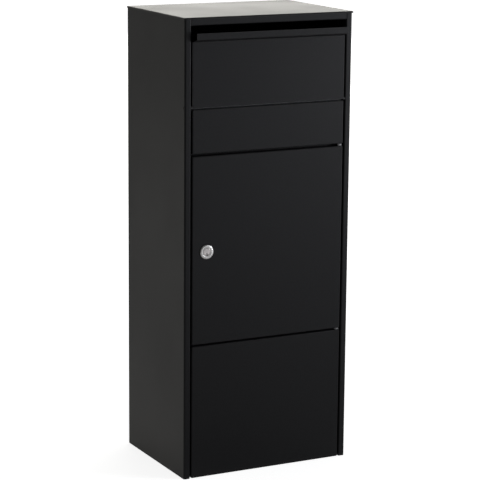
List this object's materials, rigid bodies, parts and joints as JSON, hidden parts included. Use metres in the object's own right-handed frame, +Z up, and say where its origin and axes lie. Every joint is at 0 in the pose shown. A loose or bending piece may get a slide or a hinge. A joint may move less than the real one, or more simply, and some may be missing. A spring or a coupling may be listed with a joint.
{
  "type": "parcel drop box",
  "caption": "Tall sheet steel cabinet with a pull-down drop flap and hopper at the top and a locked, side-hinged collection door below it.",
  "frame": {"origin": "on the floor, at the centre of the cabinet's footprint, on the underside of the base plate", "axes": "+Z up, -Y out of the front, +X towards the door's hinge side"},
  "size_m": [0.4036, 0.3118, 1],
  "materials": {
    "black_coat": "fine-textured satin black powder coat",
    "galvanised": "galvanised sheet steel",
    "steel": "zinc-plated steel",
    "black_steel": "black oxide steel",
    "nickel": "satin nickel plate",
    "nylon": "moulded grey nylon",
    "black_nylon": "moulded black nylon",
    "rubber": "matt black rubber"
  },
  "bodies": {
    "cabinet": {"back_panel": "black_coat", "base_plate": "galvanised", "compartment_floor": "galvanised", "door_bumper_lower": "rubber", "door_bumper_upper": "rubber", "door_lower_pin": "steel", "door_lower_washer": "nylon", "door_upper_pin": "steel", "door_upper_washer": "nylon", "flap_buffer_left": "rubber", "flap_buffer_right": "rubber", "flap_pin_left": "black_steel", "flap_pin_right": "black_steel", "flap_washer_left": "black_nylon", "flap_washer_right": "black_nylon", "header_rail": "black_coat", "keeper_strip": "black_coat", "left_side_panel": "black_coat", "lower_cross_rail": "black_coat", "plinth_panel": "black_coat", "right_side_panel": "black_coat", "roof_cap": "black_coat", "strip_panel": "black_coat", "upper_cross_rail": "black_coat"},
    "door": {"door_panel": "black_coat", "lock_housing": "nickel", "lock_nut": "steel"},
    "lock_cylinder": {"lock_plug": "nickel", "lock_cam": "steel", "cam_screw": "steel"},
    "flap": {"drop_flap": "black_coat", "hopper_tray": "galvanised", "hopper_cheek_left": "black_coat", "hopper_cheek_right": "black_coat"}
  },
  "joints": [
    {"name": "door_hinge", "type": "hinge", "parent": "cabinet", "child": "door", "pos_m": [0.176, -0.14, 0.2981], "axis": [0, 0, 1], "range_deg": [0, 110]},
    {"name": "lock_turn", "type": "hinge", "parent": "door", "child": "lock_cylinder", "pos_m": [-0.148, -0.146, 0.5006], "axis": [0, 1, 0], "range_deg": [0, 90]},
    {"name": "flap_hinge", "type": "hinge", "parent": "cabinet", "child": "flap", "pos_m": [0, -0.1422, 0.8112], "axis": [1, 0, 0], "range_deg": [0, 45]}
  ]
}
